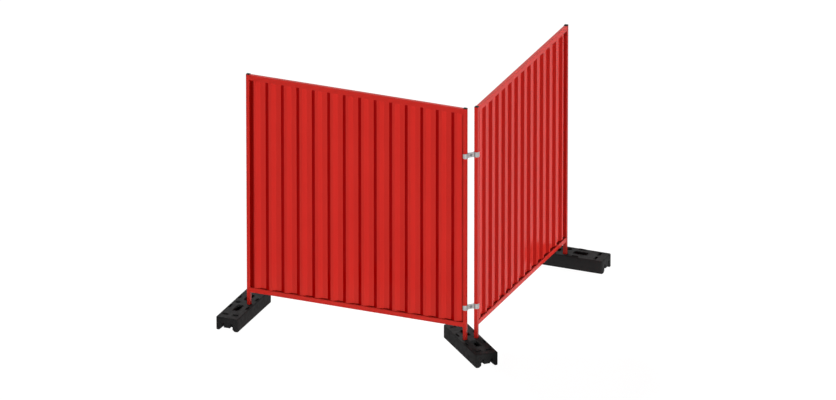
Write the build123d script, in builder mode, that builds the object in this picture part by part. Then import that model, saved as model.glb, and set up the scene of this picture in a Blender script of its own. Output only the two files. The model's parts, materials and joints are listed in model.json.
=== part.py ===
from build123d import *

import os
from math import atan2, cos, radians, sqrt, tan

os.makedirs("parts", exist_ok=True)

# Panel frame: two square posts with a box rail at the top and at the bottom, in millimetres
panel_width = 2000.0
frame_height = 1974.0
post_size = 32.0
post_wall = 2.0
post_corner_radius = 4.0
post_inner_radius = 2.0
top_rail_height = 46.0
bottom_rail_height = 42.0
rail_wall = 2.0
leg_height = 112.0

# Plastic caps on the post tops
cap_plate = 4.0
cap_edge_round = 1.5
cap_plug_depth = 14.0
cap_clearance = 0.3

# Trapezoidal cladding sheet with upright ribs
sheet_thickness = 0.9
crown_width = 26.0
flank_run = 34.0
valley_width = 46.5
rib_depth = 18.5
sheet_setback = 9.0
sheet_bend_radius = 8.0
first_flank_trim = 5.0
last_valley_min = 20.0
sheet_top_gap = 1.0

# Angles that carry the sheet, and the rivets through both
angle_leg = 25.0
angle_wall = 2.0
angle_end_gap = 1.0
rivet_radius = 2.4
rivet_hole_clearance = 0.1
rivet_head_radius = 4.75
rivet_head_height = 1.6
rivet_head_round = 1.2
rivet_tail_radius = 3.6
rivet_tail_length = 3.0

# Moulded feet
foot_length = 720.0
foot_width = 200.0
foot_height = 118.0
foot_corner_radius = 14.0
foot_top_round = 9.0
foot_base_round = 6.0
tunnel_base_width = 148.0
tunnel_top_width = 80.0
tunnel_height = 28.0
socket_spacing = 102.0
socket_clearance = 0.4
socket_floor_height = 38.0
socket_lead = 2.0
pocket_length = 124.0
pocket_width = 50.0
pocket_depth = 45.0
pocket_corner_radius = 8.0
pocket_offset = 122.0
end_slot_length = 22.0
end_slot_width = 48.0
end_slot_depth = 20.0
end_slot_offset = 280.0
end_slot_spread = 90.0
edge_slot_length = 58.0
edge_slot_width = 16.0
edge_slot_depth = 15.0
edge_slot_offset = 102.0
edge_slot_spread = 160.0
slot_corner_radius = 4.0
keyway_width = 24.0
keyway_depth = 32.0
keyway_height = 70.0
keyway_spread = 80.0
keyway_corner_radius = 5.0

# Couplers: two pressed strap halves round both corner posts, bolted through the web between them
strap_height = 44.0
strap_wall = 3.0
strap_corner_radius = 10.0
strap_end_margin = 1.0
strap_clearance = 0.4
strap_bend_radius = 6.0
front_wrap = 165.0
rear_wrap = 80.0
upper_coupler_drop = 424.0
lower_coupler_rise = 177.0
bolt_radius = 5.0
bolt_hole_clearance = 0.5
bolt_head_radius = 12.0
bolt_head_height = 5.5
bolt_head_round = 4.5
bolt_tail = 5.0
washer_radius = 10.5
washer_thickness = 2.0
nut_radius = 9.8
nut_height = 8.0
nut_clearance = 0.1

# Heights above the ground
frame_base = foot_height + leg_height
frame_top = frame_base + frame_height
sheet_seat = frame_base + bottom_rail_height
sheet_ceiling = frame_top - top_rail_height
sheet_base = sheet_seat + angle_wall
sheet_top = sheet_ceiling - angle_wall - sheet_top_gap

# The corner foot stands on the bisector of the two panels, one post in each of its sockets
half_spacing = socket_spacing / 2
post_step = half_spacing / sqrt(2)
post_pitch = panel_width - post_size
far_reach = post_step + post_pitch + half_spacing + foot_width / 2
near_reach = max(post_step + foot_length / 2, (foot_length + foot_width) / sqrt(8))
corner_x = (far_reach - near_reach) / 2
corner_y = -corner_x

# Plan of each panel: x runs along it from its left edge, y runs inwards from its middle, z is up
panel_planes = {
    "left": Plane(
        origin=(corner_x - post_step + post_size / 2 - panel_width, corner_y - post_step, 0),
        x_dir=(1, 0, 0),
        z_dir=(0, 0, 1),
    ),
    "right": Plane(
        origin=(corner_x + post_step, corner_y + post_step - post_size / 2, 0),
        x_dir=(0, 1, 0),
        z_dir=(0, 0, 1),
    ),
}
left_edge_post = post_size / 2
right_edge_post = panel_width - post_size / 2
post_places = {
    "left": {"corner": right_edge_post, "end": left_edge_post},
    "right": {"corner": left_edge_post, "end": right_edge_post},
}

# Plan of each foot: x runs along it, its two sockets lie on y
foot_planes = {
    "left": Plane(
        origin=(corner_x - post_step - post_pitch - half_spacing, corner_y - post_step, 0),
        x_dir=(0, 1, 0),
        z_dir=(0, 0, 1),
    ),
    "corner": Plane(origin=(corner_x, corner_y, 0), x_dir=(1, -1, 0), z_dir=(0, 0, 1)),
    "right": Plane(
        origin=(corner_x + post_step, corner_y + post_step + post_pitch + half_spacing, 0),
        x_dir=(1, 0, 0),
        z_dir=(0, 0, 1),
    ),
}

# A post turns inside round seats, so they clear its corners
post_reach = (post_size / 2 - post_corner_radius) * sqrt(2) + post_corner_radius
socket_radius = post_reach + socket_clearance
seat_radius = post_reach + strap_clearance
post_length = frame_top - socket_floor_height

# Rib pattern of the sheet across the opening between the posts
opening_width = panel_width - 2 * post_size
rib_width = crown_width + 2 * flank_run
rib_pitch = rib_width + valley_width
rib_count = int((opening_width + first_flank_trim - rib_width - last_valley_min) // rib_pitch) + 1
crown_front = sheet_setback - post_size / 2
valley_front = crown_front + rib_depth
valley_back = valley_front + sheet_thickness
flank_slope = rib_depth / flank_run
bend_shift = sheet_thickness * tan(atan2(rib_depth, flank_run) / 2)

# Rivets sit in the middle of each valley between two ribs, one row on each angle
rivet_columns = rib_count - 1
first_rivet = post_size - first_flank_trim + rib_width + valley_width / 2
rivet_middle = first_rivet + (rivet_columns - 1) / 2 * rib_pitch
rivet_rise = (angle_leg + angle_wall) / 2
low_rivet_row = sheet_seat + rivet_rise
high_rivet_row = sheet_ceiling - rivet_rise
rivet_grip = sheet_thickness + angle_wall
rivet_hole_radius = rivet_radius + rivet_hole_clearance
angle_rear = valley_back + angle_wall
angle_front = angle_rear - angle_leg


def sheet_face_points(depth, shift):
    """Corner points of one face of the sheet, from its left edge to its right edge."""
    valley = valley_front + depth
    crown = crown_front + depth
    points = [(post_size, valley - (first_flank_trim - shift) * flank_slope)]
    for rib in range(rib_count):
        start = post_size - first_flank_trim + rib * rib_pitch
        if rib > 0:
            points.append((start + shift, valley))
        points.append((start + flank_run + shift, crown))
        points.append((start + flank_run + crown_width - shift, crown))
        points.append((start + rib_width - shift, valley))
    points.append((post_size + opening_width, valley))
    return points


def inner_corners(sketch, level):
    """Bend corners of the sheet profile at one depth, without the two ends of the sheet."""
    inside = sketch.vertices().filter_by_position(Axis.X, post_size, post_size + opening_width, (False, False))
    return inside.filter_by(lambda corner: abs(corner.Y - level) < sheet_thickness / 100)


def cross_plane(panel, along, height):
    """Plane square to a panel's length: x runs inwards and y runs up."""
    origin = panel.from_local_coords((along, 0, height))
    return Plane(origin=origin, x_dir=panel.y_dir, z_dir=panel.x_dir)


def valley_plane(panel, depth, height):
    """Plane that faces inwards at the middle of the rivet columns."""
    origin = panel.from_local_coords((rivet_middle, depth, height))
    return Plane(origin=origin, x_dir=panel.x_dir, z_dir=panel.y_dir)


for side, panel in panel_planes.items():
    # Square posts, from the socket floor to the top of the frame, and their caps
    for place, along in post_places[side].items():
        with BuildPart() as post:
            with BuildSketch(panel.offset(socket_floor_height)):
                with Locations((along, 0)):
                    RectangleRounded(post_size, post_size, post_corner_radius)
                    bore_size = post_size - 2 * post_wall
                    RectangleRounded(bore_size, bore_size, post_inner_radius, mode=Mode.SUBTRACT)
            extrude(amount=post_length)
        post.part.label = f"{side}_{place}_post"
        export_step(post.part, f"parts/{side}_{place}_post.step")

        with BuildPart() as cap:
            with BuildSketch(panel.offset(frame_top)):
                with Locations((along, 0)):
                    RectangleRounded(post_size, post_size, post_corner_radius)
            extrude(amount=cap_plate)
            fillet(cap.edges().group_by(Axis.Z)[-1], cap_edge_round)
            with BuildSketch(panel.offset(frame_top)):
                with Locations((along, 0)):
                    plug_size = post_size - 2 * (post_wall + cap_clearance)
                    RectangleRounded(plug_size, plug_size, post_inner_radius)
            extrude(amount=-cap_plug_depth)
        cap.part.label = f"{side}_{place}_cap"
        export_step(cap.part, f"parts/{side}_{place}_cap.step")

    # Box rails, flush with both faces of the posts
    rail_sizes = {"top": (sheet_ceiling, top_rail_height), "bottom": (frame_base, bottom_rail_height)}
    for level, (rail_base, rail_height) in rail_sizes.items():
        with BuildPart() as rail:
            with BuildSketch(cross_plane(panel, post_size, rail_base + rail_height / 2)):
                RectangleRounded(post_size, rail_height, post_corner_radius)
                RectangleRounded(
                    post_size - 2 * rail_wall,
                    rail_height - 2 * rail_wall,
                    post_inner_radius,
                    mode=Mode.SUBTRACT,
                )
            extrude(amount=opening_width)
        rail.part.label = f"{side}_{level}_rail"
        export_step(rail.part, f"parts/{side}_{level}_rail.step")

    # Cladding sheet: one bent profile drawn in plan and pulled up between the rails
    with BuildPart() as cladding:
        with BuildSketch(panel.offset(sheet_base)) as profile:
            with BuildLine():
                front_points = sheet_face_points(0, 0)
                back_points = sheet_face_points(sheet_thickness, bend_shift)
                Polyline(*front_points, *reversed(back_points), close=True)
            make_face()
            outer_bend_radius = sheet_bend_radius + sheet_thickness
            fillet(inner_corners(profile, crown_front), outer_bend_radius)
            fillet(inner_corners(profile, crown_front + sheet_thickness), sheet_bend_radius)
            fillet(inner_corners(profile, valley_front), sheet_bend_radius)
            fillet(inner_corners(profile, valley_back), outer_bend_radius)
        extrude(amount=sheet_top - sheet_base)
        row_middle = (low_rivet_row + high_rivet_row) / 2
        with BuildSketch(valley_plane(panel, valley_front, row_middle)):
            with GridLocations(rib_pitch, high_rivet_row - low_rivet_row, rivet_columns, 2):
                Circle(rivet_hole_radius)
        extrude(amount=sheet_thickness, mode=Mode.SUBTRACT)
    cladding.part.label = f"{side}_cladding"
    export_step(cladding.part, f"parts/{side}_cladding.step")

    # Sheet angles: upright leg behind the valleys, foot on the rail under the edge of the sheet
    angle_seats = {
        "top": (sheet_ceiling, -1, high_rivet_row),
        "bottom": (sheet_seat, 1, low_rivet_row),
    }
    for level, (seat, up, rivet_row) in angle_seats.items():
        with BuildPart() as angle:
            with BuildSketch(cross_plane(panel, post_size + angle_end_gap, seat)):
                with BuildLine():
                    Polyline(
                        (angle_front, 0),
                        (angle_rear, 0),
                        (angle_rear, up * angle_leg),
                        (valley_back, up * angle_leg),
                        (valley_back, up * angle_wall),
                        (angle_front, up * angle_wall),
                        close=True,
                    )
                make_face()
            extrude(amount=opening_width - 2 * angle_end_gap)
            with BuildSketch(valley_plane(panel, valley_back, rivet_row)):
                with GridLocations(rib_pitch, 0, rivet_columns, 1):
                    Circle(rivet_hole_radius)
            extrude(amount=angle_wall, mode=Mode.SUBTRACT)
        angle.part.label = f"{side}_{level}_angle"
        export_step(angle.part, f"parts/{side}_{level}_angle.step")

    # Blind rivets: domed head on the sheet, shank through sheet and angle, bulb behind
    with BuildPart() as rivets:
        rivet_plane = valley_plane(panel, valley_front, row_middle)
        rivet_rows = high_rivet_row - low_rivet_row
        with BuildSketch(rivet_plane):
            with GridLocations(rib_pitch, rivet_rows, rivet_columns, 2):
                Circle(rivet_head_radius)
        extrude(amount=-rivet_head_height)
        inwards = Axis(rivet_plane.origin, rivet_plane.z_dir)
        fillet(rivets.edges().group_by(inwards)[0], rivet_head_round)
        with BuildSketch(rivet_plane):
            with GridLocations(rib_pitch, rivet_rows, rivet_columns, 2):
                Circle(rivet_radius)
        extrude(amount=rivet_grip)
        with BuildSketch(rivet_plane.offset(rivet_grip)):
            with GridLocations(rib_pitch, rivet_rows, rivet_columns, 2):
                Circle(rivet_tail_radius)
        extrude(amount=rivet_tail_length)
    rivets.part.label = f"{side}_rivets"
    export_step(rivets.part, f"parts/{side}_rivets.step")


for name, plan in foot_planes.items():
    # Foot: rounded block on two runners, with sockets, hand pockets and slots in its top, keyways in its ends
    with BuildPart() as foot:
        with BuildSketch(plan):
            RectangleRounded(foot_length, foot_width, foot_corner_radius)
        extrude(amount=foot_height)
        fillet(foot.edges().group_by(Axis.Z)[-1], foot_top_round)
        fillet(foot.edges().group_by(Axis.Z)[0], foot_base_round)
        with BuildSketch(Plane(origin=plan.origin, x_dir=plan.y_dir, z_dir=plan.x_dir)):
            with BuildLine():
                Polyline(
                    (-tunnel_base_width / 2, 0),
                    (tunnel_base_width / 2, 0),
                    (tunnel_top_width / 2, tunnel_height),
                    (-tunnel_top_width / 2, tunnel_height),
                    close=True,
                )
            make_face()
        extrude(amount=foot_length / 2, both=True, mode=Mode.SUBTRACT)
        with BuildSketch(plan):
            with GridLocations(foot_length, keyway_spread, 2, 2):
                RectangleRounded(2 * keyway_depth, keyway_width, keyway_corner_radius)
        extrude(amount=keyway_height, mode=Mode.SUBTRACT)
        foot_top = plan.offset(foot_height)
        with BuildSketch(foot_top):
            with GridLocations(0, socket_spacing, 1, 2):
                Circle(socket_radius)
        extrude(amount=socket_floor_height - foot_height, mode=Mode.SUBTRACT)
        mouths = foot.edges().group_by(Axis.Z)[-1].filter_by(GeomType.CIRCLE)
        chamfer(mouths.filter_by(lambda edge: abs(edge.radius - socket_radius) < socket_clearance), socket_lead)
        with BuildSketch(foot_top):
            with GridLocations(2 * pocket_offset, 0, 2, 1):
                RectangleRounded(pocket_length, pocket_width, pocket_corner_radius)
        extrude(amount=-pocket_depth, mode=Mode.SUBTRACT)
        with BuildSketch(foot_top):
            with GridLocations(2 * end_slot_offset, end_slot_spread, 2, 2):
                RectangleRounded(end_slot_length, end_slot_width, slot_corner_radius)
        extrude(amount=-end_slot_depth, mode=Mode.SUBTRACT)
        with BuildSketch(foot_top):
            with GridLocations(2 * edge_slot_offset, edge_slot_spread, 2, 2):
                RectangleRounded(edge_slot_length, edge_slot_width, slot_corner_radius)
        extrude(amount=-edge_slot_depth, mode=Mode.SUBTRACT)
    foot.part.label = f"{name}_foot"
    export_step(foot.part, f"parts/{name}_foot.step")


coupler_heights = {"upper": frame_top - upper_coupler_drop, "lower": frame_base + lower_coupler_rise}
strap_halves = {"front": ((-1, -1, 0), front_wrap), "rear": ((1, 1, 0), rear_wrap)}

for level, height in coupler_heights.items():
    # Strap halves: a web between the posts, bent round each post; y runs from the web to this half's side
    for half, (strap_dir, wrap) in strap_halves.items():
        with BuildPart() as strap:
            plan = Plane(origin=(corner_x, corner_y, height), x_dir=strap_dir, z_dir=(0, 0, 1))
            face_on = Plane(origin=plan.origin, x_dir=plan.x_dir, z_dir=plan.y_dir)
            with BuildSketch(plan) as bend:
                with BuildLine():
                    inner = CenterArc((half_spacing, 0), seat_radius, 180 - wrap, wrap)
                    outer = CenterArc((half_spacing, 0), seat_radius + strap_wall, 180 - wrap, wrap)
                    Line(inner @ 0, outer @ 0)
                    Line(inner @ 1, outer @ 1)
                make_face()
                mirror(about=Plane.YZ)
                web_length = 2 * (half_spacing - seat_radius) - strap_wall
                Rectangle(web_length, strap_wall, align=(Align.CENTER, Align.MIN))
                web_corners = bend.vertices().filter_by(lambda v: abs(v.Y - strap_wall) < strap_wall / 100)
                fillet(web_corners, strap_bend_radius)
            extrude(amount=strap_height / 2, both=True)
            strap_reach = half_spacing + (seat_radius + strap_wall) * cos(radians(180 - wrap))
            with BuildSketch(face_on):
                RectangleRounded(2 * (strap_reach + strap_end_margin), strap_height, strap_corner_radius)
            extrude(amount=seat_radius + strap_wall, both=True, mode=Mode.INTERSECT)
            with BuildSketch(face_on):
                Circle(bolt_radius + bolt_hole_clearance)
            extrude(amount=strap_wall, mode=Mode.SUBTRACT)
        strap.part.label = f"{level}_coupler_{half}"
        export_step(strap.part, f"parts/{level}_coupler_{half}.step")

    # Bolt from the front, washer and nut at the rear
    bolt_seat = Plane(origin=(corner_x, corner_y, height), x_dir=(-1, -1, 0), z_dir=(1, -1, 0))
    with BuildPart() as bolt:
        with BuildSketch(bolt_seat.offset(strap_wall)):
            Circle(bolt_head_radius)
        extrude(amount=bolt_head_height)
        outwards = Axis(bolt_seat.origin, bolt_seat.z_dir)
        fillet(bolt.edges().group_by(outwards)[-1], bolt_head_round)
        with BuildSketch(bolt_seat.offset(strap_wall)):
            Circle(bolt_radius)
        extrude(amount=-(2 * strap_wall + washer_thickness + nut_height + bolt_tail))
    bolt.part.label = f"{level}_coupler_bolt"
    export_step(bolt.part, f"parts/{level}_coupler_bolt.step")

    with BuildPart() as washer:
        with BuildSketch(bolt_seat.offset(-strap_wall)):
            Circle(washer_radius)
            Circle(bolt_radius + bolt_hole_clearance, mode=Mode.SUBTRACT)
        extrude(amount=-washer_thickness)
    washer.part.label = f"{level}_coupler_washer"
    export_step(washer.part, f"parts/{level}_coupler_washer.step")

    with BuildPart() as nut:
        with BuildSketch(bolt_seat.offset(-strap_wall - washer_thickness)):
            RegularPolygon(nut_radius, 6)
            Circle(bolt_radius + nut_clearance, mode=Mode.SUBTRACT)
        extrude(amount=-nut_height)
    nut.part.label = f"{level}_coupler_nut"
    export_step(nut.part, f"parts/{level}_coupler_nut.step")
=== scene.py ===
# %% [markdown]
# Two steel hoarding panels make a corner, as at the edge of a building site: red tube frames, ribbed
# red sheets, three black moulded feet and two galvanised couplers.
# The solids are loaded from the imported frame, already in metres and in their places, and not drawn
# again, so what is seen and what is simulated stay one shape.
# This lesson dresses them: finishes made of nodes, small welded and moulded details, light and camera.

# %% Load the frame
import json
import math

import bpy
from mathutils import Matrix, Vector

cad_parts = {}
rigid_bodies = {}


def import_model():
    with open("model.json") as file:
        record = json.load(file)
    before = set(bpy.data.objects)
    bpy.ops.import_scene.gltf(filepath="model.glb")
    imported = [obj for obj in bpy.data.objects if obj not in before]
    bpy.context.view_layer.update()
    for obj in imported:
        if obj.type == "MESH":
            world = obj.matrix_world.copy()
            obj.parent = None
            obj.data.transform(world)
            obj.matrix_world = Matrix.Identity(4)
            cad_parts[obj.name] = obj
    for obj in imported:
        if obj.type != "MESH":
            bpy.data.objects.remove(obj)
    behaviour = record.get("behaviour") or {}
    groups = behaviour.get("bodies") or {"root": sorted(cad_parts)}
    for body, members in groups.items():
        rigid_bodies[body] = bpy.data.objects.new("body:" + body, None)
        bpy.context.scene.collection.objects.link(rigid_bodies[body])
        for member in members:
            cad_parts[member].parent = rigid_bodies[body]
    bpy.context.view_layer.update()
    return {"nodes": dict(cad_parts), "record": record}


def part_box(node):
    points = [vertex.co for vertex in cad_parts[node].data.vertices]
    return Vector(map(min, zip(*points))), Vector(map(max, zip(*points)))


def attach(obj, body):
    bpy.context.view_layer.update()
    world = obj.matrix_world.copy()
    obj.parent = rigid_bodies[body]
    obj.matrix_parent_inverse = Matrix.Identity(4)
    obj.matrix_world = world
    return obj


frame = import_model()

nodes = frame["nodes"]
slot_of_node = {row["node"]: row["material_slot"] for row in frame["record"]["subparts"]}

# %% [markdown]
# Every finish below is a tree of shader nodes around one Principled shader. Such a tree can be wired
# by hand in the shader editor. In a script, a small class that adds a node, sets its inputs and links
# it keeps each finish down to a few lines.


# %% A bench for wiring nodes
class Bench:
    """One procedural material: a Principled shader and a way to feed it."""

    def __init__(self, name):
        self.material = bpy.data.materials.new(name)
        self.material.use_nodes = True
        self.tree = self.material.node_tree
        self.shader = self.tree.nodes["Principled BSDF"]
        self.place = self.node("ShaderNodeTexCoord").outputs["Object"]

    def node(self, kind, settings=None, **inputs):
        made = self.tree.nodes.new(kind)
        for key, value in (settings or {}).items():
            setattr(made, key, value)
        for key, value in inputs.items():
            self.feed(made.inputs[key.replace("_", " ")], value)
        return made

    def feed(self, socket, value):
        if isinstance(value, bpy.types.NodeSocket):
            self.tree.links.new(value, socket)
        else:
            socket.default_value = value

    def set(self, **inputs):
        for key, value in inputs.items():
            self.feed(self.shader.inputs[key.replace("_", " ")], value)


print("bench ready")

# %% [markdown]
# Wear, dust and grain follow the place on a piece: how high it is, which way a face looks, how near an
# edge. Painted image masks could hold that, but nodes need no files and stay sharp from close by.
# All patterns use object coordinates, so a grain of two millimetres is two millimetres everywhere
# and turns with its panel.

# %% Patterns, blends and places
MIX_SOCKETS = {"VECTOR": (4, 5, 1), "RGBA": (6, 7, 2)}
EDGE_SAMPLES, EDGE_BAND = 4, (0.995, 0.86)


class Finish(Bench):
    """A bench that knows the patterns, the blends and the places that the finishes use."""

    def noise(self, scale, detail=3.0, roughness=0.5, stretch=None):
        place = self.place
        if stretch:
            place = self.node("ShaderNodeMapping", Vector=place, Scale=stretch).outputs["Vector"]
        made = self.node("ShaderNodeTexNoise", Vector=place, Scale=scale, Detail=detail,
                         Roughness=roughness)
        return made.outputs["Fac"]

    def span(self, value, low, high, to_low=0.0, to_high=1.0):
        made = self.node("ShaderNodeMapRange", Value=value, From_Min=low, From_Max=high,
                         To_Min=to_low, To_Max=to_high)
        return made.outputs["Result"]

    def math(self, kind, first, second):
        made = self.node("ShaderNodeMath", {"operation": kind})
        self.feed(made.inputs[0], first)
        self.feed(made.inputs[1], second)
        return made.outputs["Value"]

    def mix(self, share, first, second, kind="RGBA"):
        first_in, second_in, result = MIX_SOCKETS[kind]
        made = self.node("ShaderNodeMix", {"data_type": kind})
        self.feed(made.inputs["Factor"], share)
        self.feed(made.inputs[first_in], first)
        self.feed(made.inputs[second_in], second)
        return made.outputs[result]

    def bump(self, height, strength, distance, under=None):
        made = self.node("ShaderNodeBump", Height=height, Strength=strength, Distance=distance)
        if under is not None:
            self.feed(made.inputs["Normal"], under)
        return made.outputs["Normal"]

    def dot(self, first, second):
        made = self.node("ShaderNodeVectorMath", {"operation": "DOT_PRODUCT"})
        self.feed(made.inputs[0], first)
        self.feed(made.inputs[1], second)
        return made.outputs["Value"]

    def facing(self, way):
        return self.dot(self.node("ShaderNodeTexCoord").outputs["Normal"], way)

    def edges(self, radius):
        soft = self.node("ShaderNodeBevel", {"samples": EDGE_SAMPLES}, Radius=radius).outputs["Normal"]
        sharp = self.node("ShaderNodeNewGeometry").outputs["Normal"]
        return self.span(self.dot(soft, sharp), *EDGE_BAND)

    def height(self):
        return self.node("ShaderNodeSeparateXYZ", Vector=self.place).outputs["Z"]


print("patterns ready")

# %% [markdown]
# The frames and sheets carry one gloss powder coat. Sprayed powder melts into a skin with a faint
# orange peel, so the bump is two fine noises, one at about a millimetre and one at a few millimetres.
# One even red would look like plastic. So the colour drifts by a few percent over a panel, edges get
# a thinner and paler coat in patches, site dust lies low down, and the gloss changes in upright
# streaks, as rain leaves them.

# %% Red powder coat
RED = (0.540, 0.0205, 0.0142, 1.0)
RED_DEEP = (0.515, 0.0185, 0.0128, 1.0)
RED_THIN = (0.600, 0.0240, 0.0170, 1.0)
SITE_DUST = (0.330, 0.2300, 0.1750, 1.0)
DRIFT_NOISE, DRIFT_BAND = {"scale": 1.7}, (0.35, 0.65)
THIN_EDGE = 0.0016
THIN_NOISE, THIN_BAND, THIN_SHARE = {"scale": 60.0, "detail": 4.0}, (0.45, 0.75), 0.55
DUST_NOISE = {"scale": 9.0, "detail": 6.0, "roughness": 0.65, "stretch": (1.0, 1.0, 0.35)}
DUST_HEIGHTS, DUST_SHARE = (0.55, 0.12), 0.055
STREAK_NOISE = {"scale": 26.0, "detail": 4.0, "roughness": 0.6, "stretch": (1.0, 1.0, 0.12)}
STREAK_BAND, STREAK_ROUGHNESS = (0.3, 0.7), (0.095, 0.150)
PEEL_NOISE, PEEL_BUMP = {"scale": 210.0, "detail": 2.0}, (0.10, 0.0004)
FINE_PEEL_NOISE, FINE_PEEL_BUMP = {"scale": 900.0, "detail": 2.0}, (0.08, 0.0001)


def spray_red(name):
    """A coat with its gloss, and the colour and the orange peel that a tube or a sheet builds on."""
    coat = Finish(name)
    colour = coat.mix(coat.span(coat.noise(**DRIFT_NOISE), *DRIFT_BAND), RED, RED_DEEP)
    patchy = coat.span(coat.noise(**THIN_NOISE), *THIN_BAND, 0.0, THIN_SHARE)
    colour = coat.mix(coat.math("MULTIPLY", coat.edges(THIN_EDGE), patchy), colour, RED_THIN)
    low = coat.span(coat.height(), *DUST_HEIGHTS, 0.0, DUST_SHARE)
    colour = coat.mix(coat.math("MULTIPLY", low, coat.noise(**DUST_NOISE)), colour, SITE_DUST)
    coat.set(Roughness=coat.span(coat.noise(**STREAK_NOISE), *STREAK_BAND, *STREAK_ROUGHNESS))
    peel = coat.bump(coat.noise(**PEEL_NOISE), *PEEL_BUMP)
    peel = coat.bump(coat.noise(**FINE_PEEL_NOISE), *FINE_PEEL_BUMP, peel)
    return coat, colour, peel


print("red coat ready, dust up to", DUST_HEIGHTS[0], "m")

# %% [markdown]
# The tubes are darker in some places and paler in others. The ledge of the bottom rail and the legs over
# the feet carry painted shade, the slot beside the left end post carries painted shadow, and the top of
# the upper rails carries painted light, a paler red.
# Height and the direction of a face tell these places apart, so no mask has to be painted.

# %% Paint of the tubes
# Painted light: a paler red for the top faces of the upper rails.
TOP_PAINTED_LIGHT = (0.780, 0.0800, 0.0650, 1.0)
# Painted shade: a dark red for the ledges of the bottom rails and the legs over the feet.
LOW_PAINTED_SHADE = (0.130, 0.0040, 0.0020, 1.0)
# Painted shadow in the slot beside the left end post.
SLOT_PAINTED_SHADOW = (0.265, 0.0022, 0.0010, 1.0)
FACING_BAND = (0.6, 0.9)
LIT_TOP_LEVEL, LEDGE_LEVEL, LEVEL_FADE = 2.10, 0.30, 0.01
FOOT_HEIGHT = 0.118
# Painted shade on the legs, darker towards the feet.
LEG_SHADE_LEVEL, LEG_SHADE_SHARE = 0.24, 0.72
GLOSS = 0.07


def paint_tube(name, slot_side=None):
    coat, colour, peel = spray_red(name)
    upward = coat.span(coat.facing((0, 0, 1)), *FACING_BAND)
    high_up = coat.span(coat.height(), LIT_TOP_LEVEL - LEVEL_FADE, LIT_TOP_LEVEL)
    # Painted light: upward faces above the top level turn a paler red.
    colour = coat.mix(coat.math("MULTIPLY", upward, high_up), colour, TOP_PAINTED_LIGHT)
    if slot_side:
        # Painted shadow: faces of the left end post that look into the slot are darkened.
        colour = coat.mix(coat.span(coat.facing(slot_side), *FACING_BAND), colour, SLOT_PAINTED_SHADOW)
    # Painted shade: upward faces below the ledge level and the legs over the feet are darkened.
    low_down = coat.span(coat.height(), LEDGE_LEVEL, LEDGE_LEVEL - LEVEL_FADE)
    leg_shade = coat.span(coat.height(), LEG_SHADE_LEVEL, FOOT_HEIGHT, 0.0, LEG_SHADE_SHARE)
    painted_shade = coat.math("MAXIMUM", coat.math("MULTIPLY", upward, low_down), leg_shade)
    coat.set(Base_Color=coat.mix(painted_shade, colour, LOW_PAINTED_SHADE), Specular_IOR_Level=GLOSS, Normal=peel)
    return coat.material


tube_paint = paint_tube("red_tube_paint")
# The left end post carries painted shadow on its side that faces the slot.
paint_of_node = {"left_end_post": paint_tube("red_left_end_post", slot_side=(1, 0, 0))}
print("tube paints:", tube_paint.name, paint_of_node["left_end_post"].name)

# %% [markdown]
# On each sheet, one kind of rib flank carries painted shade: a deeper and duller red than the other.
# The object-space normal tells the two kinds of flank apart and turns with the panel.
# Thin rolled sheet also waves a little between its ribs, which is one more, very wide bump.
# The left sheet has the other half of the painted shadow in the slot, along its outer edge.

# %% Paint of the sheets
# Painted shade: a deeper, duller red for one flank of each rib, one red for each panel.
LEFT_FLANK_SHADE = (0.400, 0.0008, 0.0004, 1.0)
RIGHT_FLANK_SHADE = (0.375, 0.0108, 0.0074, 1.0)
FLANK_BAND = (0.15, 0.42)
GLOSS_SHADED_FLANK = 0.01
SLOT_WIDTH, SLOT_FADE = 0.033, 0.006
WAVE_NOISE = {"scale": 3.2, "detail": 1.0, "roughness": 0.4, "stretch": (1.0, 1.0, 0.45)}
WAVE_BUMP = (0.35, 0.004)


def paint_sheet(name, shaded_way, flank_shade, slot_edge=None):
    coat, colour, peel = spray_red(name)
    # Painted shade: flanks that face one way along the panel get the darker red and less gloss.
    shaded_flank = coat.span(coat.facing(shaded_way), *FLANK_BAND)
    colour = coat.mix(shaded_flank, colour, flank_shade)
    # Painted shadow: a strip along the sheet's outer edge, in the slot, is darkened.
    if slot_edge is not None:
        inner = slot_edge - SLOT_WIDTH
        slot = coat.span(coat.dot(coat.place, shaded_way), inner - SLOT_FADE, inner)
        colour = coat.mix(slot, colour, SLOT_PAINTED_SHADOW)
    coat.set(Base_Color=colour, Specular_IOR_Level=coat.span(shaded_flank, 0.0, 1.0, GLOSS, GLOSS_SHADED_FLANK))
    coat.set(Normal=coat.bump(coat.noise(**WAVE_NOISE), *WAVE_BUMP, peel))
    return coat.material


left_sheet_edge = -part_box("left_cladding")[0].x
paint_of_node["left_cladding"] = paint_sheet("red_left_sheet", (-1, 0, 0), LEFT_FLANK_SHADE, left_sheet_edge)
paint_of_node["right_cladding"] = paint_sheet("red_right_sheet", (0, -1, 0), RIGHT_FLANK_SHADE)
print("paints of their own:", [paint.name for paint in paint_of_node.values()])

# %% [markdown]
# The feet are taken to be moulded from ground scrap plastic and rubber. Such a moulding is black with
# grains of slightly different greys, dull, and scuffed paler on its edges where it is dragged along.
# Noise alone would look like smoke. Voronoi cells give the grains their borders, and a coarse noise
# adds the cloudy flow of the melt.

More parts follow.
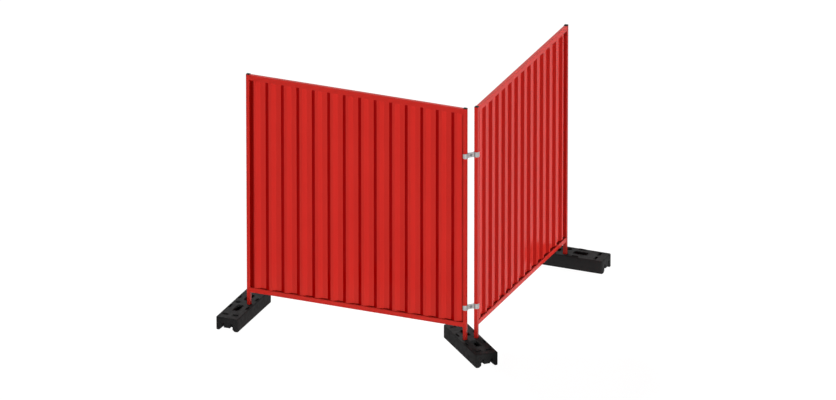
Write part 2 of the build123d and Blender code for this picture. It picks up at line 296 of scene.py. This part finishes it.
# %% Black foot moulding
FOOT_BLACK = (0.0120, 0.0118, 0.0119, 1.0)
FOOT_GREY = (0.0220, 0.0216, 0.0219, 1.0)
FOOT_SCUFF = (0.0420, 0.0410, 0.0400, 1.0)
GRAIN_SCALE, GRAIN_BUMP = 260.0, (0.25, 0.0006)
FLOW_NOISE = {"scale": 7.0, "detail": 5.0, "roughness": 0.6}
FLOW_BAND, FLOW_SHARE = (0.35, 0.68), 0.75
SCUFF_EDGE = 0.003
SCUFF_NOISE, SCUFF_BAND, SCUFF_SHARE = {"scale": 45.0, "detail": 5.0}, (0.45, 0.72), 0.7
FOOT_GLOSS = 0.06
DULL_NOISE, DULL_BAND, DULL_ROUGHNESS = {"scale": 30.0, "detail": 4.0}, (0.3, 0.7), (0.58, 0.76)
SKIN_NOISE, SKIN_BUMP = {"scale": 38.0, "detail": 4.0, "roughness": 0.6}, (0.22, 0.0016)


def mould_foot():
    foot = Finish("foot_moulding")
    grains = foot.node("ShaderNodeTexVoronoi", Vector=foot.place, Scale=GRAIN_SCALE)
    tone = foot.node("ShaderNodeSeparateColor", Color=grains.outputs["Color"]).outputs["Red"]
    flow = foot.span(foot.noise(**FLOW_NOISE), *FLOW_BAND, 0.0, FLOW_SHARE)
    colour = foot.mix(foot.math("MULTIPLY", tone, flow), FOOT_BLACK, FOOT_GREY)
    scuffed = foot.span(foot.noise(**SCUFF_NOISE), *SCUFF_BAND, 0.0, SCUFF_SHARE)
    worn = foot.math("MULTIPLY", foot.edges(SCUFF_EDGE), scuffed)
    foot.set(Base_Color=foot.mix(worn, colour, FOOT_SCUFF), Specular_IOR_Level=FOOT_GLOSS)
    foot.set(Roughness=foot.span(foot.noise(**DULL_NOISE), *DULL_BAND, *DULL_ROUGHNESS))
    skin = foot.bump(foot.noise(**SKIN_NOISE), *SKIN_BUMP)
    foot.set(Normal=foot.bump(grains.outputs["Distance"], *GRAIN_BUMP, skin))
    return foot.material


foot_moulding = mould_foot()
print("moulding:", foot_moulding.name)

# %% [markdown]
# Small black plugs close the post tops. They are injection moulded with a fine spark-eroded grain,
# a much smaller and more even pattern than the foot's, with a slight sheen.
# At this size one fine noise as a bump is enough, and a rub of grey on the edges shows their shape.

# %% Cap plastic
CAP_BLACK = (0.0070, 0.0070, 0.0075, 1.0)
CAP_PALE = (0.0180, 0.0180, 0.0185, 1.0)
CAP_EDGE, CAP_GLOSS = 0.001, 0.04
RUB_NOISE = {"scale": 120.0, "detail": 4.0}
SHEEN_NOISE, SHEEN_BAND, SHEEN_ROUGHNESS = {"scale": 70.0}, (0.3, 0.7), (0.40, 0.52)
SPARK_NOISE, SPARK_BUMP = {"scale": 1600.0, "detail": 1.0}, (0.3, 0.00012)


def mould_cap():
    cap = Finish("cap_plastic")
    rubbed = cap.math("MULTIPLY", cap.edges(CAP_EDGE), cap.noise(**RUB_NOISE))
    cap.set(Base_Color=cap.mix(rubbed, CAP_BLACK, CAP_PALE), Specular_IOR_Level=CAP_GLOSS)
    cap.set(Roughness=cap.span(cap.noise(**SHEEN_NOISE), *SHEEN_BAND, *SHEEN_ROUGHNESS))
    cap.set(Normal=cap.bump(cap.noise(**SPARK_NOISE), *SPARK_BUMP))
    return cap.material


cap_plastic = mould_cap()
print("plastic:", cap_plastic.name)

# %% [markdown]
# The couplers are hot dip galvanised: zinc freezes in flat crystals, the spangle, a few millimetres
# to a centimetre wide, each with its own brightness and gloss. Voronoi cells are the natural tool.
# A thin grey bloom in patches keeps the metal from looking polished. Bolts, washers and nuts wear the
# same zinc, dulled to a darker grey.

# %% Galvanised steel
ZINC_LIGHT = (0.430, 0.426, 0.422, 1.0)
ZINC_DARK = (0.310, 0.309, 0.311, 1.0)
ZINC_BLOOM = (0.450, 0.446, 0.438, 1.0)
BOLT_GREY = (0.130, 0.130, 0.133, 1.0)
CRYSTAL_SCALE, CRYSTAL_ROUGHNESS = 170.0, (0.30, 0.46)
WANDER_SCALE, WANDER_DETAIL, WANDER_SHARE = 90.0, 2.0, 0.006
BLOOM_NOISE = {"scale": 55.0, "detail": 5.0, "roughness": 0.6}
BLOOM_BAND, BLOOM_SHARE, BLOOM_ROUGHNESS = (0.5, 0.75), 0.6, 0.2
ZINC_METALLIC = 0.85
DROSS_NOISE, DROSS_BUMP = {"scale": 260.0}, (0.12, 0.0003)


def dip_in_zinc(name, dulled):
    zinc = Finish(name)
    wander = zinc.node("ShaderNodeTexNoise", Vector=zinc.place, Scale=WANDER_SCALE, Detail=WANDER_DETAIL)
    bent = zinc.mix(WANDER_SHARE, zinc.place, wander.outputs["Color"], "VECTOR")
    crystals = zinc.node("ShaderNodeTexVoronoi", Vector=bent, Scale=CRYSTAL_SCALE)
    tone = zinc.node("ShaderNodeSeparateColor", Color=crystals.outputs["Color"])
    colour = zinc.mix(tone.outputs["Red"], ZINC_DARK, ZINC_LIGHT)
    bloom = zinc.span(zinc.noise(**BLOOM_NOISE), *BLOOM_BAND, 0.0, BLOOM_SHARE)
    colour = zinc.mix(dulled, zinc.mix(bloom, colour, ZINC_BLOOM), BOLT_GREY)
    zinc.set(Base_Color=colour, Metallic=ZINC_METALLIC)
    gloss = zinc.span(tone.outputs["Green"], 0.0, 1.0, *CRYSTAL_ROUGHNESS)
    zinc.set(Roughness=zinc.math("ADD", gloss, zinc.math("MULTIPLY", bloom, BLOOM_ROUGHNESS)))
    zinc.set(Normal=zinc.bump(zinc.noise(**DROSS_NOISE), *DROSS_BUMP))
    return zinc.material


galvanised_steel = dip_in_zinc("galvanised_steel", dulled=0.0)
dull_fixings = dip_in_zinc("dull_fixings", dulled=0.9)
print("zinc:", galvanised_steel.name, dull_fixings.name)

# %% [markdown]
# The record says which finish every solid wears. Its slot leads to one of the finishes above, which is
# safer than a list of pieces kept by hand. The two sheets and the left end post have a paint of their
# own, and the fixings the dulled zinc.

# %% Dress the solids
finish_of_slot = {
    "red_paint": tube_paint,
    "foot_moulding": foot_moulding,
    "cap_plastic": cap_plastic,
    "galvanised_steel": galvanised_steel,
}
for name, solid in nodes.items():
    finish = paint_of_node.get(name, finish_of_slot[slot_of_node[name]])
    if name.endswith(("bolt", "washer", "nut")):
        finish = dull_fixings
    if not solid.material_slots:
        solid.data.materials.append(None)
    for place in solid.material_slots:
        place.material = finish
print("dressed:", len(nodes), "solids")

# %% [markdown]
# Small details are swept meshes: a short profile is carried along a path, ring by ring. A curve with a
# bevel could do some of them, but rings of points can also swell, taper and follow a helix.


# %% Skins over rings
def ring_round(middle, side, rise, radius, count):
    """Evenly spaced points of a circle."""
    turns = [2 * math.pi * step / count for step in range(count)]
    return [middle + (side * math.cos(turn) + rise * math.sin(turn)) * radius for turn in turns]


def skin_rings(rings, closed_path, capped):
    """Points and faces of a skin over rings of equal length."""
    count = len(rings[0])
    points = [point for ring in rings for point in ring]
    faces = []
    rows = len(rings) if closed_path else len(rings) - 1
    for row in range(rows):
        here, there = row * count, (row + 1) % len(rings) * count
        for step in range(count):
            after = (step + 1) % count
            faces.append((here + step, here + after, there + after, there + step))
    if capped:
        faces.append(tuple(reversed(range(count))))
        faces.append(tuple(range(len(points) - count, len(points))))
    return points, faces


def join_skins(skins):
    """Several skins as one list of points and faces."""
    points, faces = [], []
    for more_points, more_faces in skins:
        start = len(points)
        points += more_points
        faces += [tuple(index + start for index in face) for face in more_faces]
    return points, faces


print("skins ready")

# %% [markdown]
# A detail belongs to the piece that it sits on. It becomes a mesh of its own with a finish, and it
# rides on the body of that piece, so that it swings along when the panel does.


# %% Place a detail on its body
def make_piece(name, skin, finish, body):
    """A smooth mesh piece with its finish, slot and body."""
    mesh = bpy.data.meshes.new(name)
    mesh.from_pydata([tuple(point) for point in skin[0]], [], skin[1])
    mesh.validate()
    mesh.shade_smooth()
    mesh.materials.append(finish)
    piece = bpy.data.objects.new(name, mesh)
    bpy.context.scene.collection.objects.link(piece)
    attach(piece, body)
    print(name, "points:", len(mesh.vertices), "body:", body)


print("placing ready")

# %% [markdown]
# Rails meet posts in welded butt joints. The rounded corner of the post leaves a groove at each face,
# and the bead fills it: a rope of metal about six millimetres wide with a scale for each small
# advance of the torch. A bump map would be lost on such a thin line, so the bead is a real tube with a
# rippled radius, sunk for most of its width.

# %% Shape of a weld bead
BEAD_RADIUS = 0.0031
BEAD_SCALE = 0.0026
BEAD_SIDES = 10
BEAD_RIPPLE = 0.10
BEAD_TIP, BEAD_TAPER = 0.45, 6.0
RINGS_PER_SCALE, LEAST_RINGS = 4, 6


def bead_skin(start, end):
    along = end - start
    steps = max(LEAST_RINGS, int(along.length / BEAD_SCALE * RINGS_PER_SCALE))
    forward = along.normalized()
    side = forward.orthogonal().normalized()
    rise = forward.cross(side)
    rings = []
    for step in range(steps + 1):
        share = step / steps
        swell = abs(math.sin(math.pi * share * along.length / BEAD_SCALE))
        ripple = 1.0 - BEAD_RIPPLE + BEAD_RIPPLE * swell
        taper = min(1.0, BEAD_TIP + BEAD_TAPER * min(share, 1.0 - share))
        radius = BEAD_RADIUS * ripple * taper
        rings.append(ring_round(start + along * share, side, rise, radius, BEAD_SIDES))
    return skin_rings(rings, False, True)


print("bead:", BEAD_RADIUS * 2, "m wide")

# %% [markdown]
# Each panel has eight beads, at both ends of both rails, on the outer and on the inner face. Their
# places follow from the boxes of the rails, so they move along if the solids are packed anew.

# %% Weld beads at the frame corners
UP = Vector((0, 0, 1))
POST_SIZE = 0.032
BEAD_SINK = 0.0017
RAIL_MARGIN = 0.003


def panel_axes(side):
    """Ways along a panel and inwards, its outer corner where the rails start, and their length."""
    low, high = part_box(f"{side}_bottom_rail")
    if side == "left":
        return Vector((1, 0, 0)), Vector((0, 1, 0)), Vector((low.x, low.y, 0)), high.x - low.x
    return Vector((0, 1, 0)), Vector((-1, 0, 0)), Vector((high.x, low.y, 0)), high.y - low.y


for side in ("left", "right"):
    along, inwards, corner, run = panel_axes(side)
    skins = []
    for rail in ("top_rail", "bottom_rail"):
        low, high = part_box(f"{side}_{rail}")
        for place in (0.0, run):
            for depth in (BEAD_SINK, POST_SIZE - BEAD_SINK):
                foot = corner + along * place + inwards * depth
                start = foot + UP * (low.z + RAIL_MARGIN)
                end = foot + UP * (high.z - RAIL_MARGIN)
                skins.append(bead_skin(start, end))
    make_piece(f"{side}_weld_beads", join_skins(skins), tube_paint, f"{side}_panel")

# %% [markdown]
# Blind rivets are set by pulling a steel mandrel, whose broken end stays in the middle of the head.
# Painted over, it is a small bump. The rivet heads are solids already, so only the mandrel ends are
# added, one low dome of four rings in the middle of each head.

# %% Mandrel ends in the rivet heads
RIVET_HEAD_RADIUS = 0.00475
RIB_PITCH = 0.1405
MANDREL_RADIUS = 0.0013
MANDREL_PROUD = 0.0004
DOME_RINGS = ((1.0, -0.6), (1.0, 0.35), (0.72, 0.9), (0.3, 1.0))
DOME_SIDES = 10


def rivet_middles(side, along, inwards, corner):
    """Middle of the outer face of each rivet head: even columns in two rows."""
    low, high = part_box(f"{side}_rivets")
    ends = sorted(((low - corner).dot(along), (high - corner).dot(along)))
    depth = min((low - corner).dot(inwards), (high - corner).dot(inwards))
    first, last = ends[0] + RIVET_HEAD_RADIUS, ends[1] - RIVET_HEAD_RADIUS
    columns = round((last - first) / RIB_PITCH)
    middles = []
    for column in range(columns + 1):
        place = corner + along * (first + (last - first) * column / columns) + inwards * depth
        for height in (low.z + RIVET_HEAD_RADIUS, high.z - RIVET_HEAD_RADIUS):
            middles.append(Vector((place.x, place.y, height)))
    return middles


for side in ("left", "right"):
    along, inwards, corner = panel_axes(side)[:3]
    skins = []
    for middle in rivet_middles(side, along, inwards, corner):
        rings = []
        for share, rise in DOME_RINGS:
            centre = middle - inwards * (MANDREL_PROUD * rise)
            rings.append(ring_round(centre, along, UP, MANDREL_RADIUS * share, DOME_SIDES))
        skins.append(skin_rings(rings, False, True))
    make_piece(f"{side}_rivet_mandrels", join_skins(skins), tube_paint, f"{side}_panel")

# %% [markdown]
# The top of each foot is a moulded landscape: hand pockets, drain slots and, round each of them,
# a raised lip that stiffens the edge of the opening. The lip catches the light, so it is a mesh and
# not a bump: a low half round carried round the opening's rounded rectangle.

# %% Shape of a lip
LIP_WIDTH, LIP_HEIGHT, LIP_SETBACK = 0.007, 0.0026, 0.0012
LIP_STATIONS = (0.0, 0.12, 0.3, 0.5, 0.7, 0.88, 1.0)
LIP_FULLNESS = 0.7
LIP_ROOT = -0.001
LIP_SHARE_OF_OPENING = 0.25
CORNER_STEPS = 5


def rounded_path(length, width, radius):
    """Points of a rounded rectangle with the direction that leads out of it at each."""
    path = []
    for quarter, (sx, sy) in enumerate(((1, 1), (-1, 1), (-1, -1), (1, -1))):
        centre = Vector((sx * (length / 2 - radius), sy * (width / 2 - radius), 0))
        for step in range(CORNER_STEPS + 1):
            turn = math.pi / 2 * (quarter + step / CORNER_STEPS)
            out = Vector((math.cos(turn), math.sin(turn), 0))
            path.append((centre + out * radius, out))
    return path


def lip_skin(shape, place, to_frame):
    width = min(LIP_WIDTH, shape[1] * LIP_SHARE_OF_OPENING)
    rings = []
    for point, out in rounded_path(*shape):
        ring = []
        for share in LIP_STATIONS:
            rise = LIP_HEIGHT * math.sin(math.pi * share) ** LIP_FULLNESS if 0 < share < 1 else LIP_ROOT
            spot = point + out * (LIP_SETBACK + width * share)
            ring.append(to_frame @ Vector((spot.x + place[0], spot.y + place[1], FOOT_HEIGHT + rise)))
        rings.append(ring)
    return skin_rings(rings, True, False)


print("lip:", LIP_WIDTH, "m wide and", LIP_HEIGHT, "m high")

# %% [markdown]
# All three feet come from one mould, so their openings are listed once, in the plan of a foot that
# lies along x: the length, width and corner radius of each kind, and its places. A matrix turns that
# plan into the place of each foot.

# %% Raised lips round the foot's openings
OPENINGS = (
    ((0.124, 0.050, 0.008), ((-0.122, 0.0), (0.122, 0.0))),
    ((0.022, 0.048, 0.004), ((-0.280, -0.045), (-0.280, 0.045), (0.280, -0.045), (0.280, 0.045))),
    ((0.058, 0.016, 0.004), ((-0.102, -0.080), (-0.102, 0.080), (0.102, -0.080), (0.102, 0.080))),
)
FOOT_TURN = {"left": 90.0, "corner": -45.0, "right": 0.0}
FOOT_BODY = {"left": "left_foot", "corner": "corner_base", "right": "right_foot"}


def foot_frame(name):
    """Matrix from a foot's own plan, x along it, to the shared frame."""
    low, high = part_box(f"{name}_foot")
    middle = Vector(((low.x + high.x) / 2, (low.y + high.y) / 2, 0))
    return Matrix.Translation(middle) @ Matrix.Rotation(math.radians(FOOT_TURN[name]), 4, "Z")


for name in FOOT_TURN:
    to_frame = foot_frame(name)
    skins = [lip_skin(shape, place, to_frame) for shape, places in OPENINGS for place in places]
    make_piece(f"{name}_foot_lips", join_skins(skins), foot_moulding, FOOT_BODY[name])

# %% [markdown]
# The threaded end of each coupler bolt stands out behind the nut. A cut thread is a helix of sharp
# crests. Rings of grooves would not climb, so a small saw-tooth profile is carried round the shank for
# a few turns. It fades in and out over a quarter of a turn, as a cut thread does.

# %% Bolt threads
THREAD_PITCH, THREAD_DEPTH = 0.0015, 0.0005
THREAD_TURNS, STEPS_PER_TURN, FADE_STEPS = 3, 24, 6
THREAD_START = 0.0006
HALF_TOOTH = 0.42 * THREAD_PITCH
ROOT_SINK, CREST_SINK = 0.0003, 0.0001
BOLT_RADIUS = 0.005
OUT_OF_CORNER = Vector((1, -1, 0)).normalized()
ACROSS_CORNER = Vector((1, 1, 0)).normalized()


def thread_skin(tip):
    steps = THREAD_TURNS * STEPS_PER_TURN
    rings = []
    for step in range(steps + 1):
        turn = 2 * math.pi * step / STEPS_PER_TURN
        out = ACROSS_CORNER * math.cos(turn) + UP * math.sin(turn)
        middle = tip + OUT_OF_CORNER * (THREAD_START + THREAD_PITCH * step / STEPS_PER_TURN)
        fade = min(1.0, min(step, steps - step) / FADE_STEPS)
        root = middle + out * (BOLT_RADIUS - ROOT_SINK)
        crest = middle + out * (BOLT_RADIUS + THREAD_DEPTH * fade - CREST_SINK)
        rings.append([root - OUT_OF_CORNER * HALF_TOOTH, crest, root + OUT_OF_CORNER * HALF_TOOTH])
    return skin_rings(rings, False, True)


for level in ("upper", "lower"):
    low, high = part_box(f"{level}_coupler_bolt")
    shank = nodes[f"{level}_coupler_bolt"].data.vertices
    reach = min(vertex.co.dot(OUT_OF_CORNER) for vertex in shank)
    centre = (low + high) / 2
    tip = centre + OUT_OF_CORNER * (reach - centre.dot(OUT_OF_CORNER))
    make_piece(f"{level}_bolt_thread", thread_skin(tip), dull_fixings, "corner_base")

# %% [markdown]
# The picture has a pure white ground. The floor is a real pale floor to the light that bounces
# around, and paper just short of white to the camera and to reflections. A quarter of the lit floor
# stays in what the camera sees: it makes up the last bit to white, except where the object's faint
# shadow falls. More light on a white floor would do it too, but would bleach the object.

# %% Floor
FLOOR_SIZE = 120.0
FLOOR_PALE = (0.50, 0.50, 0.50, 1.0)
FLOOR_PALER = (0.53, 0.53, 0.53, 1.0)
FLOOR_ROUGHNESS = 0.9
MOTTLE_NOISE = {"scale": 0.8, "detail": 4.0}
PAPER_SHARE = 0.75
PAPER_LEVEL = 0.975


def white_floor():
    ground = Finish("pale_floor")
    mottled = ground.mix(ground.noise(**MOTTLE_NOISE), FLOOR_PALE, FLOOR_PALER)
    ground.set(Base_Color=mottled, Roughness=FLOOR_ROUGHNESS)
    rays = ground.node("ShaderNodeLightPath")
    seen = ground.math("MAXIMUM", rays.outputs["Is Camera Ray"], rays.outputs["Is Glossy Ray"])
    seen = ground.math("MAXIMUM", seen, rays.outputs["Is Transmission Ray"])
    paper = ground.node("ShaderNodeEmission", Strength=PAPER_LEVEL / PAPER_SHARE)
    blend = ground.node("ShaderNodeMixShader")
    ground.feed(blend.inputs[0], ground.math("MULTIPLY", seen, PAPER_SHARE))
    ground.feed(blend.inputs[1], ground.shader.outputs["BSDF"])
    ground.feed(blend.inputs[2], paper.outputs["Emission"])
    ground.feed(ground.tree.nodes["Material Output"].inputs["Surface"], blend.outputs["Shader"])
    return ground.material


bpy.ops.mesh.primitive_plane_add(size=FLOOR_SIZE, location=(0, 0, 0))
floor = bpy.context.object
floor.name = "floor"
floor.data.materials.append(white_floor())
print("floor:", FLOOR_SIZE, "m wide")

# %% [markdown]
# The surrounding is plain white to the camera and to reflections, and weak as a light, so that the lamps
# and the shade painted on one flank of each rib model the ribs, and colours keep the value they are
# painted with.

# %% White surrounding
AMBIENT, WHITE = 0.06, 1.0

world = bpy.data.worlds.new("white_surrounding")
bpy.context.scene.world = world
world.use_nodes = True
sky = world.node_tree
rays = sky.nodes.new("ShaderNodeLightPath")
seen = rays.outputs["Is Camera Ray"]
for kind in ("Is Glossy Ray", "Is Transmission Ray"):
    either = sky.nodes.new("ShaderNodeMath")
    either.operation = "MAXIMUM"
    sky.links.new(seen, either.inputs[0])
    sky.links.new(rays.outputs[kind], either.inputs[1])
    seen = either.outputs["Value"]
strength = sky.nodes.new("ShaderNodeMapRange")
sky.links.new(seen, strength.inputs["Value"])
strength.inputs["To Min"].default_value = AMBIENT
strength.inputs["To Max"].default_value = WHITE
backdrop = sky.nodes["Background"]
backdrop.inputs["Color"].default_value = (1.0, 1.0, 1.0, 1.0)
sky.links.new(strength.outputs["Result"], backdrop.inputs["Strength"])
print("surrounding:", AMBIENT)

# %% [markdown]
# A corner has two faces, so each gets a lamp of its own, as in a photo studio: a soft box with a
# honeycomb grid in front of the left panel and another one beside the right panel. The grid keeps the
# light of a box in one straight beam, so neither spoils the modelling of the other face.
# A low strip does the same for the far foot. The boxes stand low, which leaves the ledges dark.
# An area lamp with a very small spread behaves like such a box.

# %% Soft boxes with grids
GRID_SPREAD = 2.6
BOX_DISTANCE = 5.0
BOXES = {
    "front_box": {"azimuth": 34.0, "elevation": 11.0, "across": -0.7225, "height": 1.0,
                  "size": (2.095, 3.4), "light": 2.45},
    "side_box": {"azimuth": 106.0, "elevation": 11.0, "across": -0.115, "height": 0.40,
                 "size": (1.89, 3.4), "light": 2.90},
    "foot_strip": {"azimuth": 22.0, "elevation": 3.0, "across": 1.30, "height": 0.02,
                   "size": (0.90, 0.3), "light": 2.4},
}


def direction(azimuth, elevation):
    """Unit vector from the object; azimuth 0 is straight in front of the left panel."""
    a, e = math.radians(azimuth), math.radians(elevation)
    return Vector((math.sin(a) * math.cos(e), -math.cos(a) * math.cos(e), math.sin(e)))


def stand_lamp(name, lamp, towards, place):
    """Put a lamp on its stand, looking back along the direction in which it is seen."""
    stand = bpy.data.objects.new(name, lamp)
    stand.location = place
    stand.rotation_mode = "QUATERNION"
    stand.rotation_quaternion = (-towards).to_track_quat("-Z", "Y")
    stand.visible_camera = False
    bpy.context.scene.collection.objects.link(stand)


for name, box in BOXES.items():
    lamp = bpy.data.lights.new(name, "AREA")
    lamp.shape = "RECTANGLE"
    lamp.size, lamp.size_y = box["size"]
    lamp.spread = math.radians(GRID_SPREAD)
    lamp.energy = box["light"] * lamp.size * lamp.size_y
    towards = direction(box["azimuth"], box["elevation"])
    aim = direction(box["azimuth"] + 90.0, 0.0) * box["across"] + UP * box["height"]
    stand_lamp(name, lamp, towards, aim + towards * BOX_DISTANCE)
print("soft boxes:", len(BOXES))

# %% [markdown]
# Two plain lamps do the rest. One stands behind and higher: it serves the inner sides and the top
# edges. A weak one in front reaches a panel that swings out of the beam of its box. Sun lamps are
# enough here, because their light is the same wherever a panel swings to.

# %% Plain lamps
PLAIN_LAMPS = {
    "back_lamp": {"strength": 1.9, "azimuth": 225.0, "elevation": 38.0, "spread": 12.0},
    "front_fill": {"strength": 0.65, "azimuth": 34.0, "elevation": 11.0, "spread": 12.0},
}

for name, plain in PLAIN_LAMPS.items():
    lamp = bpy.data.lights.new(name, "SUN")
    lamp.energy = plain["strength"]
    lamp.angle = math.radians(plain["spread"])
    stand_lamp(name, lamp, direction(plain["azimuth"], plain["elevation"]), (0, 0, 0))
print("plain lamps:", len(PLAIN_LAMPS))

# %% [markdown]
# The picture looks as if taken with a very long lens: uprights stay parallel and far ends hardly
# shrink. The camera is found from one point whose pixel is known, the top of the left panel's corner
# post, with the viewing angle and the scale at that point. That is easier to correct than a place and
# an aim chosen by eye.

# %% Camera
IMAGE_WIDTH, IMAGE_HEIGHT = 836, 400
SENSOR = 36.0
FOCAL_PIXELS = 15700.0
AZIMUTH, ELEVATION = 22.737, 22.629
PIXELS_PER_METRE = 120.121
ANCHOR_PIXEL = (465.325, 108.637)
NEAR_CLIP, FAR_CLIP = 1.0, 400.0

low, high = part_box("left_corner_post")
anchor = Vector(((low.x + high.x) / 2, (low.y + high.y) / 2, high.z))
back = direction(AZIMUTH, ELEVATION)
right = direction(AZIMUTH + 90.0, 0.0)
up = back.cross(right)
across = (ANCHOR_PIXEL[0] - IMAGE_WIDTH / 2) / PIXELS_PER_METRE
above = (IMAGE_HEIGHT / 2 - ANCHOR_PIXEL[1]) / PIXELS_PER_METRE
distance = FOCAL_PIXELS / PIXELS_PER_METRE
lens = bpy.data.cameras.new("long_lens")
lens.sensor_width = SENSOR
lens.lens = FOCAL_PIXELS * SENSOR / IMAGE_WIDTH
lens.clip_start, lens.clip_end = NEAR_CLIP, FAR_CLIP
camera = bpy.data.objects.new("long_lens", lens)
camera.location = anchor - right * across - up * above + back * distance
camera.rotation_mode = "QUATERNION"
camera.rotation_quaternion = Matrix((right, up, back)).transposed().to_quaternion()
bpy.context.scene.collection.objects.link(camera)
bpy.context.scene.camera = camera
bpy.context.scene.view_settings.view_transform = "Standard"
print("lens:", round(lens.lens), "mm, distance:", round(distance, 1), "m")

# %% [markdown]
# This cell ends the script.

# %% End
print("scene ready")
